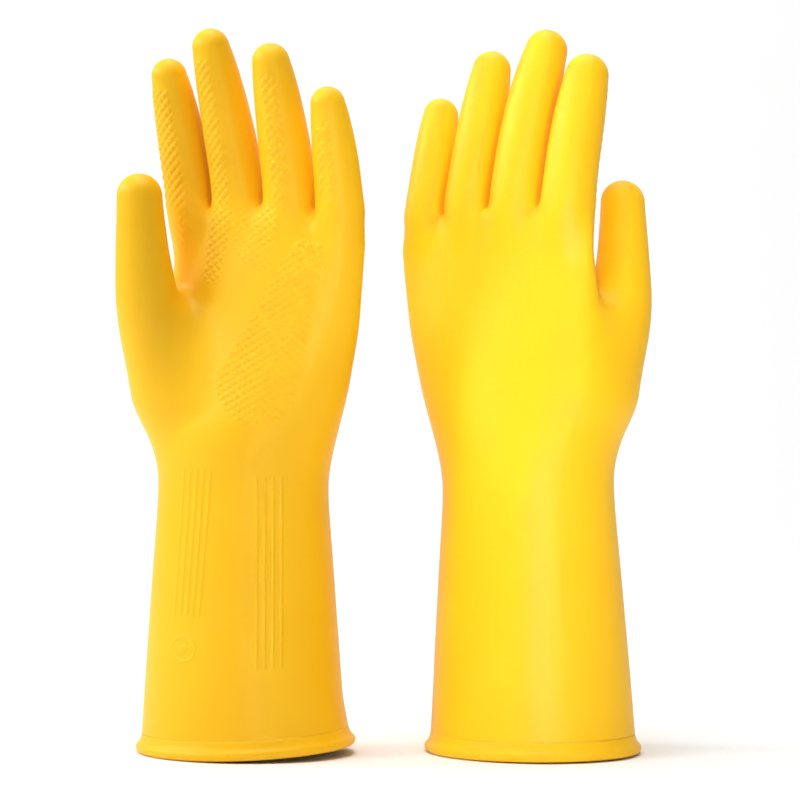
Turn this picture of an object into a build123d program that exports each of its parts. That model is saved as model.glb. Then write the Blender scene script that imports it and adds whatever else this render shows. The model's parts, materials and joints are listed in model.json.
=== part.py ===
from build123d import *
import os
from math import cos, radians, sin, tan

# Two long-cuffed household rubber gloves, standing on their rolled cuffs.
#
# Each glove is one dipped skin. It is built here in its own frame: X towards the thumb, Y out of
# the palm, Z from the cuff to the fingertips, with the cuff's centre at the origin. The skin is
# cut where it folds, so every stretch between two folds is a rigid body and every fold is a
# band of its own. Lengths are in millimetres and angles in degrees.

# ---- the skin ----
WALL = 0.5  # thickness of the dipped skin
BEAD_RADIUS = 2.4  # rolled bead round the mouth of the cuff
BEAD_FLAT = 0.2  # depth of the bead pressed flat by what it stands on
BEAD_A = 45.9  # half width and half depth of the bead's centre line
BEAD_B = 40.9
BEAD_TOP_Z = 6.0  # where the bead's stretch of skin ends and the cuff's begins

# ---- how the two gloves stand: cuff centre along X, turn about Z, lean towards the thumb ----
GLOVES = {
    "glove_a": {"x": -68.6, "turn": 154.0, "lean": 1.3},
    "glove_b": {"x": 57.8, "turn": -28.0, "lean": -1.3},
}

# ---- cuff and palm: height, centre towards the thumb, centre towards the palm, half sizes ----
BODY = [
    (2.2, 0.0, 0.0, 45.9, 40.9),
    (9.0, 0.0, 0.0, 45.3, 40.3),
    (17.0, 0.0, 0.0, 45.0, 40.0),
    (45.0, 0.0, 0.0, 43.2, 38.0),
    (65.0, 0.0, 0.0, 41.8, 36.5),
    (86.0, 0.0, 0.0, 40.2, 35.0),
    (107.0, 0.0, 0.0, 38.7, 33.0),
    (118.0, 0.0, 0.0, 38.5, 32.2),
    (129.0, 0.0, 0.0, 40.2, 31.6),
    (142.0, -1.1, 0.0, 44.0, 30.0),
    (156.0, -5.3, 0.0, 43.9, 27.0),
    (184.0, -10.8, 1.0, 45.8, 22.0),
    (217.0, -15.3, 2.0, 46.3, 17.0),
    (236.0, -15.3, 2.5, 45.0, 11.5),
]

# ---- fingers: centre line from inside the palm to the middle of the round tip ----
ROOT_Z = 222.0
ROOT_Y = 3.0
SEAT_DROP = 18.0  # each finger starts this far below its root, narrower, inside the palm
SEAT_INSET = 6.0
CURL = 15.0  # how far a tip leans out of the palm's plane
FINGERS = {
    "index": {"root": 19.9, "tip": 23.7, "top": 304.0, "radii": (12.0, 9.3), "middle_z": 271.0},
    "middle": {"root": -4.9, "tip": 2.8, "top": 316.0, "radii": (12.0, 9.5), "middle_z": 276.0},
    "ring": {"root": -28.6, "tip": -25.5, "top": 308.0, "radii": (11.8, 9.3), "middle_z": 273.0},
    "little": {"root": -51.0, "tip": -52.7, "top": 288.0, "radii": (11.0, 8.4), "middle_z": 265.0},
}

# ---- thumb: centre towards the thumb side, centre towards the palm, height, radius ----
THUMB = [
    (22.0, 2.0, 122.0, 14.0),
    (24.5, 8.0, 142.0, 18.2),
    (27.0, 13.5, 156.0, 18.0),
    (29.5, 24.0, 184.0, 15.2),
    (29.5, 29.5, 197.0, 14.0),
    (29.0, 34.0, 217.0, 12.0),
    (28.3, 37.0, 241.0, 10.5),
]

# ---- folds: height of each hinge, and the most that it turns from rest ----
WRIST_Z = 118.0
WRIST_TURN = 30.0
KNUCKLE_Z = 244.0
KNUCKLE_TURN = 45.0
MIDDLE_TURN = 50.0
THUMB_BASE_Z = 200.0
THUMB_BASE_TURN = 35.0
THUMB_TIP_Z = 224.0
THUMB_TIP_TURN = 45.0
FOLD_SPARE = 0.8  # height added to a band on each side, beyond what the turn needs

DOME_ANGLES = (25.0, 50.0, 70.0, 84.0)  # rings that round off a tip
FAR = 600.0  # larger than the whole object


def leant(u, z, lean):
    """Where a point at height z lies towards the thumb, once the hand leans over at the wrist."""
    return u + tan(radians(lean)) * max(z - WRIST_Z, 0.0)


def band_half(radius, turn):
    """Half the height of a fold's band: its two edges stay apart when it turns that far."""
    return radius * tan(radians(turn / 2)) + FOLD_SPARE


def body_solid(lean, inset):
    """The cuff and palm as one solid, inset from the outer surface."""
    rings = []
    for z, u, v, a, b in BODY:
        top = z - inset if z == BODY[-1][0] else z
        rings.append(Pos(leant(u, z, lean), v, top) * Ellipse(a - inset, b - inset))
    return loft(rings, ruled=True)


def tube_solid(route, inset):
    """A finger or thumb as a solid: circles along its route, and a round tip on the last one."""
    rings = [Pos(u, v, z) * Circle(r - inset) for u, v, z, r in route]
    (u0, v0, z0, _), (u1, v1, z1, r) = route[-2:]
    slope_u = (u1 - u0) / (z1 - z0)
    slope_v = (v1 - v0) / (z1 - z0)
    radius = r - inset
    for angle in DOME_ANGLES:
        rise = radius * sin(radians(angle))
        place = Pos(u1 + slope_u * rise, v1 + slope_v * rise, z1 + rise)
        rings.append(place * Circle(radius * cos(radians(angle))))
    return loft(rings, ruled=True)


def finger_point(finger, share, lean):
    """A point of a finger's centre line with its radius, from 0 at the root to 1 near the tip."""
    root_radius, tip_radius = finger["radii"]
    z = ROOT_Z + share * (finger["top"] - tip_radius - ROOT_Z)
    u = finger["root"] + share * (finger["tip"] - finger["root"])
    v = ROOT_Y + CURL * share**1.6
    radius = root_radius + (tip_radius - root_radius) * share**1.5
    return leant(u, z, lean), v, z, radius


def finger_at(finger, z, lean):
    """The finger's centre and radius at height z."""
    share = (z - ROOT_Z) / (finger["top"] - finger["radii"][1] - ROOT_Z)
    return finger_point(finger, share, lean)


def finger_route(finger, lean):
    root_u = finger["root"] + (SEAT_INSET if finger["root"] < BODY[-1][1] else -SEAT_INSET) / 2
    low = ROOT_Z - SEAT_DROP
    seat = (leant(root_u, low, lean), ROOT_Y - 1, low, finger["radii"][0] - SEAT_INSET)
    return [seat] + [finger_point(finger, n / 5, lean) for n in range(6)]


def thumb_route(lean):
    return [(leant(u, z, lean), v, z, r) for u, v, z, r in THUMB]


def thumb_at(z, lean):
    """The thumb's centre and radius at height z, between two points of its route."""
    route = thumb_route(lean)
    for low, high in zip(route, route[1:]):
        if low[2] <= z <= high[2]:
            share = (z - low[2]) / (high[2] - low[2])
            return tuple(p + share * (q - p) for p, q in zip(low, high))
    raise ValueError(f"the thumb has no centre at height {z}")


def slab(low, high):
    """Everything between two heights."""
    return Pos(0, 0, (low + high) / 2) * Box(FAR, FAR, high - low)


def bead_solid():
    """The rolled bead: a round cord of skin bent round the mouth, pressed flat underneath."""
    height = BEAD_RADIUS - BEAD_FLAT
    path = Pos(0, 0, height) * Ellipse(BEAD_A, BEAD_B).edge()
    section = Plane(origin=path @ 0, z_dir=path % 0) * Circle(BEAD_RADIUS)
    return sweep(section, path=path) & slab(0, FAR)


def stretches(folds, top):
    """Names and heights of the rigid stretch and the band at each fold: (name, low, high)."""
    out = []
    for n, (band, rigid, z, half) in enumerate(folds):
        end = folds[n + 1][2] - folds[n + 1][3] if n + 1 < len(folds) else top
        out.append((band, z - half, z + half))
        out.append((rigid, z + half, end))
    return out


def finger_folds(finger):
    """The knuckle and the middle joint of a finger: band, stretch beyond it, height, half height."""
    knuckle = band_half(finger_at(finger, KNUCKLE_Z, 0)[3], KNUCKLE_TURN)
    middle = band_half(finger_at(finger, finger["middle_z"], 0)[3], MIDDLE_TURN)
    return [
        ("knuckle_band", "base", KNUCKLE_Z, knuckle),
        ("middle_band", "tip", finger["middle_z"], middle),
    ]


def thumb_folds():
    base = band_half(thumb_at(THUMB_BASE_Z, 0)[3], THUMB_BASE_TURN)
    tip = band_half(thumb_at(THUMB_TIP_Z, 0)[3], THUMB_TIP_TURN)
    return [
        ("base_band", "base", THUMB_BASE_Z, base),
        ("tip_band", "tip", THUMB_TIP_Z, tip),
    ]


def wrist_half():
    depth = next(b for z, _, _, _, b in BODY if z == WRIST_Z)
    return band_half(depth, WRIST_TURN)


def glove_nodes(lean):
    """Every node of one glove, by name, in the glove's own frame."""
    body = {inset: body_solid(lean, inset) for inset in (0.0, WALL)}
    thumb = {inset: tube_solid(thumb_route(lean), inset) for inset in (0.0, WALL)}
    fingers = {}
    for name, finger in FINGERS.items():
        route = finger_route(finger, lean)
        fingers[name] = {inset: tube_solid(route, inset) for inset in (0.0, WALL)}

    # the hand: palm, thumb root and finger roots, open where the digits' own stretches begin
    palm_low = WRIST_Z + wrist_half()
    outer = body[0.0] & slab(palm_low, FAR)
    outer += thumb[0.0] & slab(palm_low, thumb_folds()[0][2] - thumb_folds()[0][3])
    for name, finger in FINGERS.items():
        _, _, z, half = finger_folds(finger)[0]
        outer += fingers[name][0.0] & slab(0, z - half)
    hand = outer - body[WALL] - thumb[WALL]
    for name in FINGERS:
        hand -= fingers[name][WALL]

    sleeve = body[0.0] - body[WALL]
    nodes = {
        "cuff_bead": (sleeve & slab(0, BEAD_TOP_Z)) + bead_solid(),
        "cuff": sleeve & slab(BEAD_TOP_Z, WRIST_Z - wrist_half()),
        "wrist_band": (sleeve & slab(WRIST_Z - wrist_half(), palm_low)) - thumb[0.0],
        "hand": hand,
    }
    digits = {name: (fingers[name], finger_folds(f)) for name, f in FINGERS.items()}
    digits["thumb"] = (thumb, thumb_folds())
    for name, (tube, folds) in digits.items():
        skin = tube[0.0] - tube[WALL]
        for part, low, high in stretches(folds, FAR):
            nodes[f"{name}_{part}"] = skin & slab(low, high)
    return nodes


def hinge_points(lean):
    """Each hinge's name, a point on it, and the direction that the digit bends towards."""
    out = {"wrist": ((0.0, 0.0, WRIST_Z), 90.0)}
    for name, finger in FINGERS.items():
        out[f"{name}_knuckle"] = (finger_at(finger, KNUCKLE_Z, lean)[:3], 90.0)
        out[f"{name}_middle"] = (finger_at(finger, finger["middle_z"], lean)[:3], 90.0)
    out["thumb_base"] = (thumb_at(THUMB_BASE_Z, lean)[:3], 140.0)
    out["thumb_tip"] = (thumb_at(THUMB_TIP_Z, lean)[:3], 140.0)
    return out


def placed_nodes():
    """Both gloves where they stand, moved so that the middle of their footprint is the origin."""
    nodes = {}
    for glove, pose in GLOVES.items():
        place = Pos(pose["x"], 0, 0) * Rot(0, 0, pose["turn"])
        for name, solid in glove_nodes(pose["lean"]).items():
            nodes[f"{glove}_{name}"] = place * solid
    boxes = [solid.bounding_box() for solid in nodes.values()]
    low = [min(getattr(box.min, axis) for box in boxes) for axis in "XYZ"]
    high = [max(getattr(box.max, axis) for box in boxes) for axis in "XYZ"]
    shift = Pos(-(low[0] + high[0]) / 2, -(low[1] + high[1]) / 2, -low[2])
    return {name: shift * solid for name, solid in nodes.items()}, shift


def write_parts(nodes):
    os.makedirs("parts", exist_ok=True)
    for name, solid in nodes.items():
        export_step(solid, f"parts/{name}.step")


if __name__ == "__main__":
    NODES, SHIFT = placed_nodes()
    write_parts(NODES)
    print(len(NODES), "nodes; moved by", SHIFT.position)
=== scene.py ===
import json
from functools import partial
from math import pi, radians

import bmesh
import bpy
import numpy as np
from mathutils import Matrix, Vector


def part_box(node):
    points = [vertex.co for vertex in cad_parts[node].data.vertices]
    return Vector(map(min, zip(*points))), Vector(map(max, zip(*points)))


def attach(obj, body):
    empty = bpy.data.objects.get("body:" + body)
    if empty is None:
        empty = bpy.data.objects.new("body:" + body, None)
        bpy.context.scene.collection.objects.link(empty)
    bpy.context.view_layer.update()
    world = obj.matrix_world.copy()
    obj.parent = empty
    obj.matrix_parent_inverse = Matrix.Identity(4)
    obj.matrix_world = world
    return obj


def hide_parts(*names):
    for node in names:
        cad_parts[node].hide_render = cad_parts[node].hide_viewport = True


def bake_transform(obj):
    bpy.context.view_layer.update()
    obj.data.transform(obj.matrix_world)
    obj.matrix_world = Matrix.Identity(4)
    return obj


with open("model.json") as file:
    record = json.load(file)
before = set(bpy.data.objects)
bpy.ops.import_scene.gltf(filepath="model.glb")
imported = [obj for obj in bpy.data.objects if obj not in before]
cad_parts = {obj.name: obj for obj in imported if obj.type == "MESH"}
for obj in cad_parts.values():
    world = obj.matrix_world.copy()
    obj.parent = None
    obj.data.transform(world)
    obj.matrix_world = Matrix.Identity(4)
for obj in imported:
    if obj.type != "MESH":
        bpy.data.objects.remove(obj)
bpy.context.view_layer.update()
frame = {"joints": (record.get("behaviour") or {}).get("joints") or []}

# Two household rubber gloves. Each is worked out in its own frame, in millimetres: U towards the
# thumb, V out of the palm, Z from the cuff to the fingertips, with the cuff's centre at the
# origin. Its skin is one smooth distance field that is meshed, given its raised grip, and cut
# into one piece per body.

MM = 0.001
WALL = 0.5  # thickness of the dipped skin
SHAPE_STEP = 0.1  # spacing of the tables that hold the profiles
FINE = np.arange(-80.0, 340.0, SHAPE_STEP)

# ---- the grid that the skin is meshed on ----
CELL = 1.5
GRID_LOW = np.array([-69.0, -45.0, -3.0])
GRID_HIGH = np.array([52.0, 57.0, 321.0])
SKIN_FOOT = 4.0  # height of the skin's lower edge, inside the bead
SMOOTH_WIDTH = 0.3  # distance over which the smooth skin's slope is measured
RELIEF_WIDTH = 0.12  # the same for the skin with its relief
LEAST_SLOPE = 0.05
MOST_MOVE = 1.0  # furthest that a point settles in one round
RELIEF_LEAST = 0.012  # relief lower than this gets no finer faces

# ---- where the skin is cut, between two folds ----
HAND_SEAM = 135.0
KNUCKLE_SEAM = 238.5
THUMB_SEAM = 190.0

# ---- cuff and palm: height, centre towards the thumb, half width, depth to palm, depth to back ----
BODY = np.array([
    (0.0, 0.0, 46.0, 41.0, 41.0),
    (5.0, 0.0, 45.6, 40.6, 40.6),
    (17.0, 0.0, 45.0, 40.0, 40.0),
    (45.0, 0.0, 43.2, 38.0, 38.0),
    (65.0, 0.0, 41.8, 36.5, 36.5),
    (86.0, 0.0, 40.2, 35.0, 35.0),
    (107.0, 0.0, 38.7, 33.0, 33.0),
    (118.0, -0.2, 38.3, 32.2, 32.0),
    (129.0, -1.2, 39.9, 33.2, 30.5),
    (142.0, -3.0, 42.6, 33.0, 28.0),
    (156.0, -6.2, 44.4, 29.5, 25.0),
    (184.0, -11.2, 46.2, 22.5, 19.5),
    (217.0, -15.3, 46.3, 17.5, 9.8),
    (230.0, -15.0, 45.4, 15.5, 4.8),
    (245.0, -14.8, 44.0, 13.0, 2.5),
])
WEB_SPREAD = 4.0
BODY_SPREAD = 5.0  # distance over which the sections run into each other
WEB_ROUND = 8.0  # rounding of the palm's upper edge
WEB_TOP = [(-60.0, 226.0), (-40.0, 232.0), (-16.0, 236.3), (8.0, 236.6), (30.0, 232.5)]

# ---- fingers: distance towards the thumb at ROOT_SHARE, halfway and at the tip, then root radius ----
FINGERS = {
    "glove_a": {
        "index": (20.0, 22.3, 24.5, 11.7),
        "middle": (-4.0, -0.4, 3.6, 12.4),
        "ring": (-28.9, -27.7, -26.2, 12.3),
        "little": (-52.3, -53.0, -53.6, 10.9),
    },
    "glove_b": {
        "index": (17.6, 20.6, 24.4, 12.3),
        "middle": (-7.2, -2.1, 5.7, 12.3),
        "ring": (-30.9, -26.3, -22.5, 11.3),
        "little": (-52.0, -49.6, -49.2, 10.2),
    },
}
DIGITS = ("index", "middle", "ring", "little")
ROOT_SHARE = 0.2
# ---- a finger's radius over its root radius, at each share of its height ----
TAPER = {
    "glove_a": [(-0.4, 0.3), (-0.15, 0.55), (0.0, 0.82), (0.1, 0.96), (0.19, 1.0), (0.3, 0.95),
                (0.5, 0.92), (0.65, 0.86), (0.8, 0.775), (0.9, 0.68), (1.0, 0.54)],
    "glove_b": [(-0.4, 0.3), (-0.15, 0.55), (0.0, 0.82), (0.1, 0.96), (0.19, 1.0), (0.3, 0.965),
                (0.5, 0.95), (0.68, 0.92), (0.83, 0.835), (0.92, 0.75), (1.0, 0.64)],
}
SLOT = 2.0  # gap kept between two fingers that lie side by side, from SLOT_Z up
SLOT_Z = 236.0
SLOT_ROUND = 0.6
CLEFT = 1.5  # rounding where two fingers meet
CLEFT_BACK = 4.0  # how much more it is at the roots, on the back
FINGER_JOIN = 6.0  # rounding where the fingers meet the palm
FINGER_FOOT = 206.0  # height of the fingers' lower ends, inside the palm
ROOT_Z = 222.0
TIP_SHARE = {"glove_a": 0.64, "glove_b": 0.72}
TIP_RISE = {"glove_a": -1.3, "glove_b": 1.2}  # how far a glove's fingertips stand over the CAD's
ROOT_V = 3.0
CURL = 15.0
CURL_POWER = 1.6
SEAT = 5.0  # how far a finger draws in towards the palm's middle as it runs down into it
SEAT_MIDDLE = -16.0

# ---- thumb: towards the thumb, towards the palm, height, radius ----
THUMB = np.array([
    (17.0, 0.0, 118.0, 11.0),
    (22.0, 8.0, 142.0, 17.5),
    (26.2, 13.5, 156.0, 18.0),
    (29.3, 24.0, 184.0, 15.2),
    (29.3, 29.5, 197.0, 13.8),
    (28.6, 34.0, 217.0, 11.6),
    (27.6, 37.0, 241.0, 9.7),
])
THUMB_TIP_R = 9.9
THUMB_FOOT = 122.0  # height of the thumb's lower end, inside the palm
THUMB_SPREAD = 5.0
THUMB_OUT = {"glove_a": 0.0, "glove_b": 2.2}

# ---- how far each glove has sagged towards its thumb, at each height ----
SAG_SPREAD = 7.0
SAG = {
    "glove_a": [(104.0, 0.0), (118.0, 0.15), (132.0, 0.45), (244.0, 2.86), (320.0, 4.6)],
    "glove_b": [(20.0, 0.0), (60.0, -0.9), (110.0, -1.9), (140.0, -1.7), (184.0, -1.7),
                (217.0, -2.25), (244.0, -2.86), (320.0, -4.6)],
}


def smooth_table(heights, values, spread):
    """The values at evenly spaced heights, rounded over a distance of about spread."""
    raw = np.interp(FINE, heights, values)
    reach = int(4 * spread / SHAPE_STEP)
    offsets = np.arange(-reach, reach + 1) * SHAPE_STEP
    kernel = np.exp(-0.5 * (offsets / spread) ** 2)
    return np.convolve(np.pad(raw, reach, mode="edge"), kernel / kernel.sum(), mode="valid")


def read(table, at):
    """A table's value at each height."""
    return np.interp(at, FINE, table)


def smooth_min(first, second, reach):
    """The lower of two distances, rounded where they meet."""
    share = np.maximum(reach - np.abs(first - second), 0.0) / reach
    return np.minimum(first, second) - share * share * reach / 4


def step(value, low, high):
    """0 below low, 1 above high, and a smooth rise between."""
    share = np.clip((value - low) / (high - low), 0.0, 1.0)
    return share * share * (3 - 2 * share)


BODY_TABLES = [smooth_table(BODY[:, 0], BODY[:, k], BODY_SPREAD) for k in range(1, 5)]
WEB_TABLE = smooth_table(*np.array(WEB_TOP).T, WEB_SPREAD)
SAG_TABLES = {name: smooth_table(*np.array(rows).T, SAG_SPREAD) for name, rows in SAG.items()}


def sag(name, z):
    """How far the skin has moved towards the thumb at each height."""
    return read(SAG_TABLES[name], z)


SHARES = np.arange(-0.6, 1.4, 0.002)
SHARE_KERNEL = np.exp(-0.5 * (np.arange(-60, 61) * 0.002 / 0.035) ** 2)
TAPER_TABLES = {
    name: np.convolve(np.pad(np.interp(SHARES, *np.array(rows).T), 60, mode="edge"),
                      SHARE_KERNEL / SHARE_KERNEL.sum(), mode="valid")
    for name, rows in TAPER.items()
}


def finger_line(glove, digit, z):
    """A finger's centre and radius at each height."""
    root_u, half_u, tip_u, radius = FINGERS[glove["name"]][digit]
    share = (z - ROOT_Z) / (glove["tops"][digit] - ROOT_Z)
    run = (share - ROOT_SHARE) / (1 - ROOT_SHARE)
    seat = SEAT * np.minimum(run, 0.0) * np.sign(SEAT_MIDDLE - root_u)
    run = 0.5 * (run + np.sqrt(run * run + 0.02))
    bow = 4 * (half_u - (root_u + tip_u) / 2)
    u = root_u + (tip_u - root_u) * run + bow * run * (1 - run)
    rise = np.maximum(share, 0.0)
    taper = np.interp(share, SHARES, TAPER_TABLES[glove["name"]])
    return u - seat, ROOT_V + CURL * rise ** CURL_POWER, radius * taper


def finger_tube(glove, digit, u, v, z):
    """Distance to one finger."""
    dome = glove["tops"][digit] - FINGERS[glove["name"]][digit][3] * TIP_SHARE[glove["name"]]
    return tube(u, v, z, partial(finger_line, glove, digit), FINGER_FOOT, dome)


THUMB_TABLES = [smooth_table(THUMB[:, 2], THUMB[:, k], THUMB_SPREAD) for k in (0, 1, 3)]


def thumb_line(glove, z):
    """The thumb's centre and radius at each height."""
    u, v, radius = (read(table, z) for table in THUMB_TABLES)
    return u + THUMB_OUT[glove["name"]] * step(z, 150.0, 205.0), v, radius


def thumb_tube(glove, u, v, z):
    """Distance to the thumb."""
    return tube(u, v, z, partial(thumb_line, glove), THUMB_FOOT, glove["thumb_top"])


def tube(u, v, z, line, low, high):
    """Distance to a round tube along a centre line, with a round end at low and at high."""
    along = np.clip(z + 0 * u + 0 * v, low, high)
    for _ in range(3):
        cu, cv, _ = line(along)
        du, dv, _ = line(along + 0.5)
        tu, tv = (du - cu) * 2, (dv - cv) * 2
        ahead = ((u - cu) * tu + (v - cv) * tv + (z - along)) / (1 + tu * tu + tv * tv)
        along = np.clip(along + ahead, low, high)
    cu, cv, radius = line(along)
    return np.sqrt((u - cu) ** 2 + (v - cv) ** 2 + (z - along) ** 2) - radius


def body_distance(u, v, z):
    """Distance to the cuff and palm, which end at the webs between the fingers."""
    centre, half, front, back = (read(table, z) for table in BODY_TABLES)
    depth = np.where(v > 0, front + 0 * v, back + 0 * v)
    a, b = (u - centre) / half, v / depth
    reach = np.sqrt(a * a + b * b)
    slope = np.maximum(np.sqrt((a / half) ** 2 + (b / depth) ** 2), 1e-6)
    side = reach * (reach - 1) / slope
    return -smooth_min(-side, -(z - read(WEB_TABLE, u)), WEB_ROUND)


def fingers_distance(glove, u, v, z):
    """Distance to the four fingers, with a gap between those that lie side by side."""
    cleft = CLEFT + CLEFT_BACK * (1 - step(z, 230.0, 244.0)) * (1 - step(v, -4.0, 4.0))
    last = finger_tube(glove, DIGITS[0], u, v, z)
    fingers = last
    for digit in DIGITS[1:]:
        following = finger_tube(glove, digit, u, v, z)
        slot = np.minimum(SLOT - np.abs(following - last), z - SLOT_Z)
        fingers = -smooth_min(-smooth_min(fingers, following, cleft), -slot, SLOT_ROUND)
        last = following
    return fingers


def thumb_join(z):
    """How widely the thumb runs into the palm at each height."""
    return 7.0 + 12.0 * step(z, 136.0, 156.0) - 13.0 * step(z, 186.0, 210.0)


def skin_distance(glove, u, v, z):
    """Signed distance to the smooth skin, negative inside it."""
    skin = smooth_min(body_distance(u, v, z), fingers_distance(glove, u, v, z), FINGER_JOIN)
    return smooth_min(skin, thumb_tube(glove, u, v, z), thumb_join(z))


# ---- the raised grip ----
ROW_PITCH = 2.9
CROSS_PITCH = 2.8
ROW_GROOVE = 0.62  # widths of the grooves
CROSS_GROOVE = 0.6
CROSS_TURN = 47.0  # slant of the crossing grooves, and of the rows on the palm and fingers
PALM_TURN = 31.0
FINGER_TURN = 44.0
GRIP_HEIGHT = 0.45
FINGER_GRIP = 1.25  # height of the fingers' grip over the palm's
PALM_VIEW = radians(26.5)  # turn of the flat that the palm's marks are laid out on

# ---- patches of grip on the palm: two ends (across, height, radius), fading edge, strength ----
PALM_GRIP = [
    ((-8, 160, 19), (-31, 215, 9), 3.0, 1.0),
    ((5.8, 239, 6), (11, 208, 5), 2.5, 1.0),
    ((24, 240, 5), (26, 222, 4), 2.5, 0.5),
    ((-13, 240, 6.5), (-12, 225, 7), 3.0, 0.7),
    ((0, 230, 9), (-8, 215, 9), 5.0, 0.3),
]

# ---- the grip on each finger: its middle and half width in degrees, and its end below the tip ----
STRIPES = {"index": (20, 36, 13), "middle": (17, 26, 13), "ring": (-7, 20, 13), "little": (2, 21, 13)}


def pads(along, pitch, width):
    """0 in a groove, 1 on the pads between, once in every pitch."""
    away = np.abs(along / pitch - np.round(along / pitch)) * pitch
    return 1 - np.exp(-(away / width) ** 2)


def diamonds(u, z, row_turn, crossing):
    """Raised pads between slanting rows of grooves and the grooves that cross them."""
    rows = u * np.sin(radians(row_turn)) + z * np.cos(radians(row_turn))
    cross = -u * np.sin(radians(CROSS_TURN)) + z * np.cos(radians(CROSS_TURN))
    crossed = 1 - crossing + crossing * pads(cross, CROSS_PITCH, CROSS_GROOVE)
    return pads(rows, ROW_PITCH, ROW_GROOVE) * crossed


def patch(s, z, low, high, soft):
    """1 inside a tapered stretch from low to high (s, z, radius), fading over soft at its edge."""
    a, b = np.array(low[:2]), np.array(high[:2])
    d = b - a
    t = np.clip(((s - a[0]) * d[0] + (z - a[1]) * d[1]) / (d @ d), 0.0, 1.0)
    away = np.hypot(s - a[0] - t * d[0], z - a[1] - t * d[1])
    return 1 - step(away, low[2] + t * (high[2] - low[2]) - soft, low[2] + t * (high[2] - low[2]))


def grip(glove, u, v, z):
    """Height of the raised grip over the smooth skin."""
    s = np.cos(PALM_VIEW) * u + np.sin(PALM_VIEW) * v
    palm = 0 * s
    for low, high, soft, strength in PALM_GRIP:
        palm = np.maximum(palm, strength * patch(s, z, low, high, soft))
    palm = palm * step(v, 2.0, 8.0) * (1 - step(z, 234.0, 242.0))
    mask = 0 * palm
    for digit, (middle, half, below) in STRIPES.items():
        cu, cv, _ = finger_line(glove, digit, z)
        turn = np.degrees(np.arctan2(u - cu, v - cv)) - middle
        near = 1 - step(np.hypot(u - cu, v - cv), 14.0, 17.0)
        on = (1 - step(np.abs(turn), half - 8, half + 8)) * near
        top = glove["tops"][digit] - below
        mask = np.maximum(mask, on * step(z, 234.0, 242.0) * (1 - step(z, top - 3, top)))
    on_palm = palm * diamonds(u, z, PALM_TURN, 1.0)
    return GRIP_HEIGHT * np.maximum(on_palm, FINGER_GRIP * mask * diamonds(u, z, FINGER_TURN, 0.6))


# ---- the fine marks on the cuff ----
MARK_HEIGHT = 0.3
RIB_WIDTH = 0.55
RING = (24.3, 47.5, 5.2)  # across, height, radius
RING_WIDTH = 0.5


def rib(s, z, low, high):
    """One fine raised line from low to high (s, z)."""
    run = np.clip((z - low[1]) / (high[1] - low[1]), 0.0, 1.0)
    away = (s - low[0] - run * (high[0] - low[0])) / RIB_WIDTH
    ends = step(z, low[1] - 1, low[1] + 2) * (1 - step(z, high[1] - 2, high[1] + 1))
    return np.exp(-away * away) * ends


def cuff_marks(u, v, z):
    """Fine ribs and a plain ring on the palm side of the cuff."""
    s = np.cos(PALM_VIEW) * u + np.sin(PALM_VIEW) * v
    total = 0 * s
    for k in range(5):
        total = np.maximum(total, rib(s, z, (28.5 - 2.75 * k, 60.6), (24.1 - 2.95 * k, 125.0)))
    for k in range(4):
        total = np.maximum(total, rib(s, z, (-7.4 - 3.5 * k, 39.0), (-7.4 - 3.5 * k, 121.0)))
    ring = np.hypot(s - RING[0], z - RING[1])
    total = np.maximum(total, np.exp(-((ring - RING[2]) / RING_WIDTH) ** 2))
    total = np.maximum(total, 1 - step(ring, 1.0, 2.0))
    return MARK_HEIGHT * total * step(v, 2.0, 8.0)


def relief(glove, u, v, z):
    """Height of everything raised over the smooth skin."""
    return grip(glove, u, v, z) + cuff_marks(u, v, z)


def raised_distance(glove, u, v, z):
    """Signed distance to the skin with its relief."""
    return skin_distance(glove, u, v, z) - relief(glove, u, v, z)


# ---- meshing ----
def surface_net(field, low, size):
    """Vertices and quads of a field's zero level on a regular grid, one vertex in each crossed cell."""
    inside = field < 0
    corners = [inside[i:inside.shape[0] - 1 + i, j:inside.shape[1] - 1 + j, k:inside.shape[2] - 1 + k]
               for i in (0, 1) for j in (0, 1) for k in (0, 1)]
    count = sum(c.astype(np.int8) for c in corners)
    active = (count > 0) & (count < 8)
    cells = np.argwhere(active)
    index = np.full(active.shape, -1, np.int64)
    index[active] = np.arange(len(cells))
    total = np.zeros((len(cells), 3))
    hits = np.zeros(len(cells))
    for axis in range(3):
        others = [k for k in range(3) if k != axis]
        for p in (0, 1):
            for q in (0, 1):
                start = cells.copy()
                start[:, others[0]] += p
                start[:, others[1]] += q
                end = start.copy()
                end[:, axis] += 1
                a, b = field[tuple(start.T)], field[tuple(end.T)]
                crossed = (a < 0) != (b < 0)
                place = start.astype(float)
                place[:, axis] += np.where(crossed, a / np.where(crossed, a - b, 1.0), 0.0)
                total[crossed] += place[crossed]
                hits[crossed] += 1
    points = low + size * total / hits[:, None]
    return points, np.concatenate([net_quads(inside, index, axis) for axis in range(3)])


def net_quads(inside, index, axis):
    """The quads round every crossed grid edge along one axis, facing out."""
    j, k = (axis + 1) % 3, (axis + 2) % 3
    first = [slice(None)] * 3
    second = [slice(None)] * 3
    first[axis] = slice(None, -1)
    second[axis] = slice(1, None)
    crossed = inside[tuple(first)] != inside[tuple(second)]
    for side in (j, k):
        cut = [slice(None)] * 3
        cut[side] = 0
        crossed[tuple(cut)] = False
        cut[side] = -1
        crossed[tuple(cut)] = False
    edges = np.argwhere(crossed)
    leaving = inside[tuple(edges.T)]
    around = []
    for dj, dk in ((-1, -1), (0, -1), (0, 0), (-1, 0)):
        cell = edges.copy()
        cell[:, j] += dj
        cell[:, k] += dk
        around.append(index[tuple(cell.T)])
    quads = np.stack(around, axis=1)
    quads[~leaving] = quads[~leaving][:, ::-1]
    return quads


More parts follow.
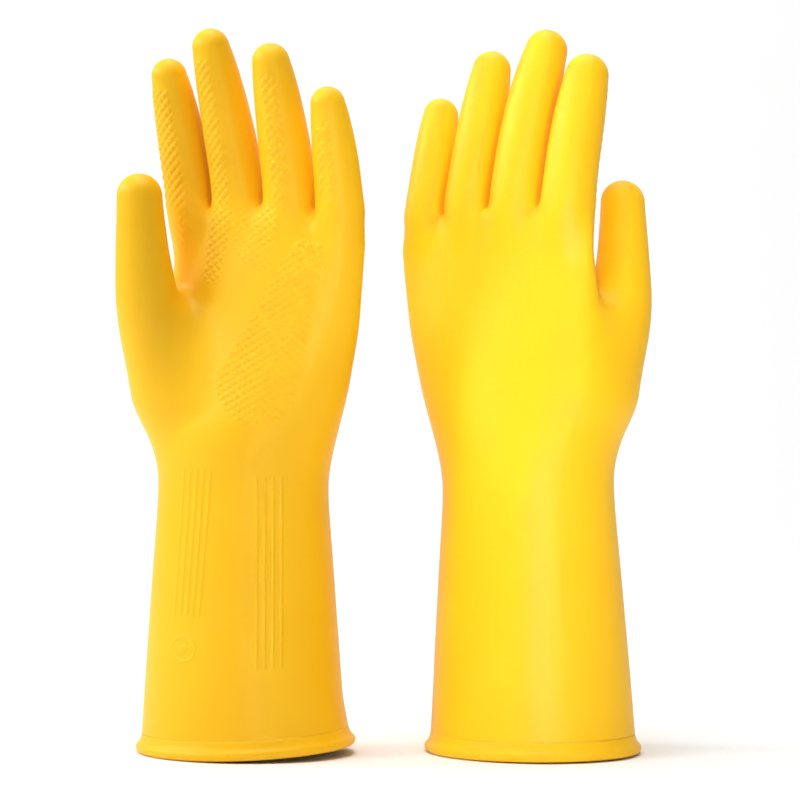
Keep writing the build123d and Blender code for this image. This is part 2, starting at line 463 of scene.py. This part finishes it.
def gradient(field, points, width):
    """A field's slope at each point."""
    parts = []
    for axis in range(3):
        ahead, behind = points.copy(), points.copy()
        ahead[:, axis] += width
        behind[:, axis] -= width
        parts.append((field(*ahead.T) - field(*behind.T)) / (2 * width))
    return np.stack(parts, axis=1)


def settle(field, points, rounds, width):
    """Moves points onto the field's zero level."""
    for _ in range(rounds):
        slope = gradient(field, points, width)
        size = np.maximum((slope * slope).sum(1), LEAST_SLOPE)
        move = -(field(*points.T) / size)[:, None] * slope
        points = points + np.clip(move, -MOST_MOVE, MOST_MOVE)
    return points


def relax(points, quads, rounds):
    """Evens out the spacing of a mesh's vertices."""
    pairs = np.concatenate([quads[:, [k, (k + 1) % 4]] for k in range(4)])
    pairs = np.concatenate([pairs, pairs[:, ::-1]])
    count = np.bincount(pairs[:, 0], minlength=len(points))
    for _ in range(rounds):
        sums = [np.bincount(pairs[:, 0], points[pairs[:, 1], k], len(points)) for k in range(3)]
        total = np.stack(sums, 1)
        points = 0.5 * points + 0.5 * total / np.maximum(count, 1)[:, None]
    return points


def rough_skin(glove):
    """A coarse, even mesh of a glove's smooth skin, as a bmesh cut off square above the bead."""
    shape = (GRID_HIGH - GRID_LOW) / CELL
    axes = [GRID_LOW[k] + CELL * np.arange(int(shape[k]) + 1) for k in range(3)]
    grid = np.meshgrid(*axes, indexing="ij", sparse=True)
    field = skin_distance(glove, *grid)
    points, quads = surface_net(field, GRID_LOW, CELL)
    for _ in range(2):
        points = settle(partial(skin_distance, glove), relax(points, quads, 2), 2, SMOOTH_WIDTH)
    mesh = bpy.data.meshes.new("rough")
    mesh.from_pydata(points, [], quads.tolist())
    bm = bmesh.new()
    bm.from_mesh(mesh)
    bpy.data.meshes.remove(mesh)
    bmesh.ops.bisect_plane(bm, geom=bm.verts[:] + bm.edges[:] + bm.faces[:],
                           plane_co=(0, 0, SKIN_FOOT), plane_no=(0, 0, 1), clear_inner=True)
    return bm


def refine(glove, bm, cuts):
    """Splits the faces that carry relief, so that it can be real geometry."""
    bm.verts.ensure_lookup_table()
    points = np.array([v.co for v in bm.verts])
    raised = relief_reach(glove, points)
    chosen = {e for f in bm.faces if any(raised[v.index] for v in f.verts) for e in f.edges}
    bmesh.ops.subdivide_edges(bm, edges=list(chosen), cuts=cuts, use_grid_fill=True)


def relief_reach(glove, points):
    """Which points carry relief, within a cell of it."""
    found = np.zeros(len(points), bool)
    for du in (-1.0, 0.0, 1.0):
        for dz in (-1.0, 0.0, 1.0):
            height = relief(glove, points[:, 0] + du, points[:, 1], points[:, 2] + dz)
            found |= height > RELIEF_LEAST
    return found


def skin_mesh(glove):
    """A whole glove's skin: outer points and normals, inner points and normals, and faces."""
    bm = rough_skin(glove)
    refine(glove, bm, 2)
    bm.verts.index_update()
    points = np.array([v.co for v in bm.verts])
    faces = [[v.index for v in f.verts] for f in bm.faces]
    bm.free()
    smooth = partial(skin_distance, glove)
    base = settle(smooth, points, 2, SMOOTH_WIDTH)
    base_normals = unit(gradient(smooth, base, SMOOTH_WIDTH))
    height = relief(glove, *base.T)
    outer = base + base_normals * height[:, None]
    normals = unit(gradient(partial(raised_distance, glove), outer, RELIEF_WIDTH))
    return outer, normals, base - WALL * base_normals, -base_normals, faces


def unit(vectors):
    """The vectors at length 1."""
    return vectors / np.maximum(np.linalg.norm(vectors, axis=1), 1e-9)[:, None]


# ---- pieces ----
def glove_facts(name):
    """A glove's own frame in the row frame, and the heights of its fingertips, from the CAD."""
    low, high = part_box(name + "_cuff_bead")
    joints = {j["name"]: j for j in frame["joints"]}
    across = -Vector(joints[name + "_wrist"]["axis"]).normalized()
    out = Vector((0, 0, 1)).cross(across)
    centre = (low + high) / 2
    tops = {d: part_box(f"{name}_{d}_tip")[1].z / MM + TIP_RISE[name] for d in DIGITS}
    own = {key: joint for key, joint in joints.items() if key.startswith(name)}
    hinges = {key[len(name) + 1:]: joint["pos_m"][2] / MM for key, joint in own.items()}
    thumb_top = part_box(name + "_thumb_tip")[1].z / MM - THUMB_TIP_R
    return {"name": name, "tops": tops, "thumb_top": thumb_top, "hinges": hinges,
            "origin": np.array([centre.x, centre.y, 0.0]),
            "axes": np.array([across, out, (0, 0, 1)])}


# ---- how far one side of each mouth is lifted, and where, in degrees from the thumb ----
LIFT = {"glove_a": (3.9, 206.0), "glove_b": (0.6, 330.0)}
LIFT_TOP = 55.0
SPLAY = {"glove_a": 2.0, "glove_b": 0.4}  # how far out the lifted side of the mouth is pulled
SPLAY_TOP = 26.0


def bend_mouth(name, points):
    """Moves points near the cuff's mouth up and out on its lifted side."""
    height, where = LIFT[name]
    turn = np.arctan2(points[:, 1], points[:, 0]) - radians(where)
    side = (0.5 + 0.5 * np.cos(turn)) ** 2
    out = SPLAY[name] * side * (1 - step(points[:, 2], 0.0, SPLAY_TOP))
    moved = points.copy()
    moved[:, 0] += out * np.cos(radians(where))
    moved[:, 1] += out * np.sin(radians(where))
    moved[:, 2] += height * side * (1 - step(points[:, 2], 0.0, LIFT_TOP))
    return moved


def to_row(glove, points):
    """Points of a glove's own frame (mm) in the row frame (m), with its sag and its lifted mouth."""
    moved = bend_mouth(glove["name"], points)
    moved[:, 0] += sag(glove["name"], points[:, 2])
    return glove["origin"] + MM * moved @ glove["axes"]


def turn_normals(glove, points, normals):
    """Normals of a glove's own frame in the row frame, leaning with its sag."""
    slope = sag(glove["name"], points[:, 2] + 0.5) - sag(glove["name"], points[:, 2] - 0.5)
    turned = normals.copy()
    turned[:, 2] -= slope * normals[:, 0]
    return unit(turned) @ glove["axes"]


def seams(glove):
    """The height of the seam between each digit's base and its tip, halfway between its hinges."""
    hinges = glove["hinges"]
    middle = {d: (hinges[d + "_knuckle"] + hinges[d + "_middle"]) / 2 for d in DIGITS}
    middle["thumb"] = (hinges["thumb_base"] + hinges["thumb_tip"]) / 2
    return middle


def sort_faces(glove, centres):
    """The name of the piece that each face belongs to."""
    u, v, z = centres.T
    names = np.where(z < HAND_SEAM, "cuff", "hand").astype("<U16")
    middle = seams(glove)
    away = np.stack([finger_tube(glove, digit, u, v, z) for digit in DIGITS])
    nearest = np.array(DIGITS)[np.argmin(away, axis=0)]
    others = np.minimum(body_distance(u, v, z), np.min(away, axis=0))
    is_thumb = (thumb_tube(glove, u, v, z) < others) & (z > THUMB_SEAM)
    for digit in DIGITS:
        on = (nearest == digit) & ~is_thumb
        names[on & (z > KNUCKLE_SEAM)] = digit + "_base"
        names[on & (z > middle[digit])] = digit + "_tip"
    names[is_thumb] = "thumb_base"
    names[is_thumb & (z > middle["thumb"])] = "thumb_tip"
    return names


def piece_mesh(name, sides, faces):
    """A closed piece of skin: its outer faces, its inner faces and a rim between them."""
    outer, outer_normals, inner, inner_normals = sides
    used = np.unique(np.concatenate([np.array(f) for f in faces]))
    place = {int(old): new for new, old in enumerate(used)}
    count = len(used)
    out_faces = [[place[i] for i in f] for f in faces]
    in_faces = [[count + i for i in reversed(f)] for f in out_faces]
    edges = {}
    for f in out_faces:
        for a, b in zip(f, f[1:] + f[:1]):
            edges[(a, b)] = True
    rim = [[b, a, a + count, b + count] for a, b in edges if (b, a) not in edges]
    mesh = bpy.data.meshes.new(name)
    points = np.concatenate([outer[used], inner[used]])
    mesh.from_pydata(points, [], out_faces + in_faces + rim)
    normals = np.concatenate([outer_normals[used], inner_normals[used]])
    loops = np.zeros(len(mesh.loops), np.int32)
    mesh.loops.foreach_get("vertex_index", loops)
    split = normals[loops]
    mesh.shade_smooth()
    rim_start = sum(len(f) for f in out_faces) * 2
    rim_normals = np.zeros(len(mesh.polygons) * 3)
    mesh.polygons.foreach_get("normal", rim_normals)
    rim_normals = rim_normals.reshape(-1, 3)[len(out_faces) * 2:]
    split[rim_start:] = np.repeat(rim_normals, 4, axis=0)
    mesh.normals_split_custom_set(split)
    obj = bpy.data.objects.new(name, mesh)
    bpy.context.scene.collection.objects.link(obj)
    return obj


FIRST_BEND = (-5.5, 7.5)  # where the skin bends at each digit's first fold, from its hinge
SECOND_BEND = (-7.0, 7.0)


def digit_bends(glove, digit, folds, centre_line):
    """The two stretches (low, high) over which a digit's skin bends, as points in the row frame."""
    found = []
    for fold, (below, above) in zip(folds, (FIRST_BEND, SECOND_BEND)):
        z = glove["hinges"][f"{digit}_{fold}"]
        ends = [[*(float(x) for x in centre_line(at)[:2]), at] for at in (z + below, z + above)]
        found.append([Vector(p) for p in to_row(glove, np.array(ends))])
    return found


def finish_piece(obj, nodes):
    """Hides the CAD nodes that a piece stands in for, and gives it its material."""
    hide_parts(*nodes)
    obj.data.materials.append(LATEX)


def build_skin(glove):
    """A glove's skin as one object for each body, by the body's name."""
    outer, out_normals, inner, in_normals, faces = skin_mesh(glove)
    centres = np.array([outer[f].mean(axis=0) for f in faces])
    names = sort_faces(glove, centres)
    sides = (to_row(glove, outer), turn_normals(glove, outer, out_normals),
             to_row(glove, inner), turn_normals(glove, inner, in_normals))
    pieces = {}
    for part in np.unique(names):
        chosen = [faces[i] for i in np.flatnonzero(names == part)]
        pieces[part] = piece_mesh(f"{glove['name']}_{part}_skin", sides, chosen)
    return pieces


def build_digit(glove, digit, base, tip):
    """Bakes a digit's two pieces in place, hides the CAD nodes they stand in for and gives them their
    material; the stretches where they bend are worked out but not used.
    """
    name = glove["name"]
    if digit == "thumb":
        line, folds = partial(thumb_line, glove), ("base", "tip")
    else:
        line, folds = partial(finger_line, glove, digit), ("knuckle", "middle")
    lower, upper = digit_bends(glove, digit, folds, line)
    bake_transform(base)
    finish_piece(base, [f"{name}_{digit}_{folds[0]}_band", f"{name}_{digit}_base"])
    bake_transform(tip)
    finish_piece(tip, [f"{name}_{digit}_{folds[1]}_band", f"{name}_{digit}_tip"])


def build_glove(name):
    """All of one glove's pieces."""
    glove = glove_facts(name)
    pieces = build_skin(glove)
    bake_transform(pieces["cuff"])
    finish_piece(pieces["cuff"], [f"{name}_cuff", f"{name}_wrist_band"])
    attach(pieces["hand"], f"{name}_hand")
    finish_piece(pieces["hand"], [f"{name}_hand"])
    for digit in DIGITS + ("thumb",):
        build_digit(glove, digit, pieces[digit + "_base"], pieces[digit + "_tip"])
    build_bead(glove)


# ---- the rolled bead ----
BEAD_RADIUS = 2.4
BEAD_STEPS = 180  # sections round the mouth


def bead_arc(first, last):
    """Points of the bead's round section from one angle to another, in degrees."""
    turns = np.radians(np.arange(first, last, 15))
    return [(BEAD_RADIUS * np.cos(t), BEAD_RADIUS + BEAD_RADIUS * np.sin(t)) for t in turns]


def bead_profile():
    """Points of the bead's section: (outwards from the skin's middle, height), counter-clockwise."""
    flare = [(0.75, 5.3), (0.42, 6.2), (0.22, 7.4), (0.0, 8.6)]
    inside = [(-0.5, 7.4), (-0.62, 6.0), (-0.9, 5.2), (-1.4, 4.5)]
    return bead_arc(-90, 61) + flare + inside + bead_arc(150, 256)


def build_bead(glove):
    """The rolled bead round the mouth, with the flare that runs up into the cuff."""
    name = glove["name"]
    profile = bead_profile()
    turns = np.linspace(0, 2 * pi, BEAD_STEPS, endpoint=False)
    points, faces = [], []
    for t in turns:
        for out, z in profile:
            _, half, front, back = (float(read(table, z)) for table in BODY_TABLES)
            depth = front if np.sin(t) > 0 else back
            normal = np.array([np.cos(t) / half, np.sin(t) / depth])
            normal /= np.linalg.norm(normal)
            ring = np.array([half * np.cos(t), depth * np.sin(t)]) + out * normal
            points.append((ring[0], ring[1], z))
    n, m = len(turns), len(profile)
    for i in range(n):
        for j in range(m):
            a, b = i * m + j, ((i + 1) % n) * m + j
            c, d = ((i + 1) % n) * m + (j + 1) % m, i * m + (j + 1) % m
            faces.append([a, b, c, d])
    mesh = bpy.data.meshes.new(name + "_bead_roll")
    mesh.from_pydata(to_row(glove, np.array(points)), [], faces)
    mesh.shade_smooth()
    obj = bpy.data.objects.new(name + "_bead_roll", mesh)
    bpy.context.scene.collection.objects.link(obj)
    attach(obj, name + "_cuff")
    finish_piece(obj, [name + "_cuff_bead"])


# ---- materials ----
def latex_material():
    """Yellow latex: a satin skin with cloudy colour and a fine unevenness."""
    material = bpy.data.materials.new("latex")
    material.use_nodes = True
    nodes, links = material.node_tree.nodes, material.node_tree.links
    shader = nodes["Principled BSDF"]
    place = nodes.new("ShaderNodeTexCoord")
    cloud = nodes.new("ShaderNodeTexNoise")
    cloud.inputs["Scale"].default_value = 18.0
    cloud.inputs["Detail"].default_value = 3.0
    links.new(place.outputs["Object"], cloud.inputs["Vector"])
    ramp = nodes.new("ShaderNodeValToRGB")
    ramp.color_ramp.elements[0].position = 0.3
    ramp.color_ramp.elements[0].color = (0.92, 0.495, 0.006, 1)
    ramp.color_ramp.elements[1].position = 0.7
    ramp.color_ramp.elements[1].color = (0.95, 0.535, 0.010, 1)
    links.new(cloud.outputs["Fac"], ramp.inputs["Fac"])
    links.new(ramp.outputs["Color"], shader.inputs["Base Color"])
    shader.inputs["Roughness"].default_value = 0.45
    shader.inputs["Specular IOR Level"].default_value = 0.22
    fine = nodes.new("ShaderNodeTexNoise")
    fine.inputs["Scale"].default_value = 900.0
    fine.inputs["Detail"].default_value = 2.0
    links.new(place.outputs["Object"], fine.inputs["Vector"])
    bump = nodes.new("ShaderNodeBump")
    bump.inputs["Strength"].default_value = 0.12
    bump.inputs["Distance"].default_value = 0.0002
    links.new(fine.outputs["Fac"], bump.inputs["Height"])
    links.new(bump.outputs["Normal"], shader.inputs["Normal"])
    return material


def plain_material(name, colour):
    """A matt material of one colour, for the stage."""
    material = bpy.data.materials.new(name)
    material.use_nodes = True
    shader = material.node_tree.nodes["Principled BSDF"]
    shader.inputs["Base Color"].default_value = (*colour, 1)
    shader.inputs["Roughness"].default_value = 0.9
    return material


# ---- stage ----
def build_stage():
    """A pale floor that rises into a backdrop well behind the gloves."""
    turns = np.radians(range(10, 91, 10))
    profile = [(-3.0, 0.0), (1.4, 0.0)]
    profile += [(1.4 + 0.8 * np.sin(t), 0.8 - 0.8 * np.cos(t)) for t in turns]
    profile.append((2.2, 3.0))
    points = [(x, y, z) for y, z in profile for x in (-3.0, 3.0)]
    faces = [[2 * k, 2 * k + 1, 2 * k + 3, 2 * k + 2] for k in range(len(profile) - 1)]
    mesh = bpy.data.meshes.new("studio_sweep")
    mesh.from_pydata(points, [], faces)
    mesh.shade_smooth()
    mesh.materials.append(plain_material("studio_paper", (0.9, 0.9, 0.9)))
    sweep = bpy.data.objects.new("studio_sweep", mesh)
    bpy.context.scene.collection.objects.link(sweep)


def area_light(name, place, target, size, power):
    """A soft round light, or a narrow upright one when size holds a width, a height and a spread."""
    light = bpy.data.lights.new(name, "AREA")
    if isinstance(size, tuple):
        light.shape = "RECTANGLE"
        light.size, light.size_y, light.spread = size
    else:
        light.shape = "DISK"
        light.size = size
    light.energy = power
    obj = bpy.data.objects.new(name, light)
    obj.location = place
    obj.rotation_euler = (Vector(target) - Vector(place)).to_track_quat("-Z", "Y").to_euler()
    bpy.context.scene.collection.objects.link(obj)


MIDDLE = (-0.03, 0, 0.17)  # what the lights face
LIGHTS = [  # name, place, target, size, power
    ("top", (-0.03, -0.295, 1.844), MIDDLE, 0.7, 12.5),
    ("key", (-0.739, -0.595, 1.596), MIDDLE, 0.5, 2.5),
    ("left", (-1.33, -0.57, 1.03), MIDDLE, 0.5, 9),
    ("left_back", (-1.48, 0.256, 1.02), MIDDLE, 0.5, 10),
    ("narrow_front", (0.07, -1.6, 0.2), (0.067, 0, 0.18), (0.06, 0.36, radians(12)), 0.15),
    ("backdrop_wash", (0, 0.5, 1.7), (0, 1.9, 0.5), 1.5, 21),
]
AIR = 0.30  # strength of the light from all round


def build_lights():
    """Soft studio lights, mostly from above and the left."""
    world = bpy.data.worlds.new("studio_air")
    bpy.context.scene.world = world
    world.use_nodes = True
    world.node_tree.nodes["Background"].inputs["Color"].default_value = (1, 1, 1, 1)
    world.node_tree.nodes["Background"].inputs["Strength"].default_value = AIR
    for light in LIGHTS:
        area_light(*light)


def build_camera():
    """A long lens at mid height, a little to the right of the first glove."""
    low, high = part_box("glove_a_cuff_bead")
    middle = (low + high) / 2
    camera = bpy.data.cameras.new("camera")
    camera.lens = 128.6
    camera.sensor_width = 36.0
    obj = bpy.data.objects.new("camera", camera)
    obj.location = (middle.x + 0.0686, middle.y - 1.25, 0.1538)
    obj.rotation_euler = (pi / 2, 0, 0)
    bpy.context.scene.collection.objects.link(obj)
    bpy.context.scene.camera = obj


LATEX = latex_material()
bpy.context.scene.view_settings.view_transform = "Standard"
build_camera()
build_lights()
build_stage()
for glove_name in ("glove_a", "glove_b"):
    build_glove(glove_name)
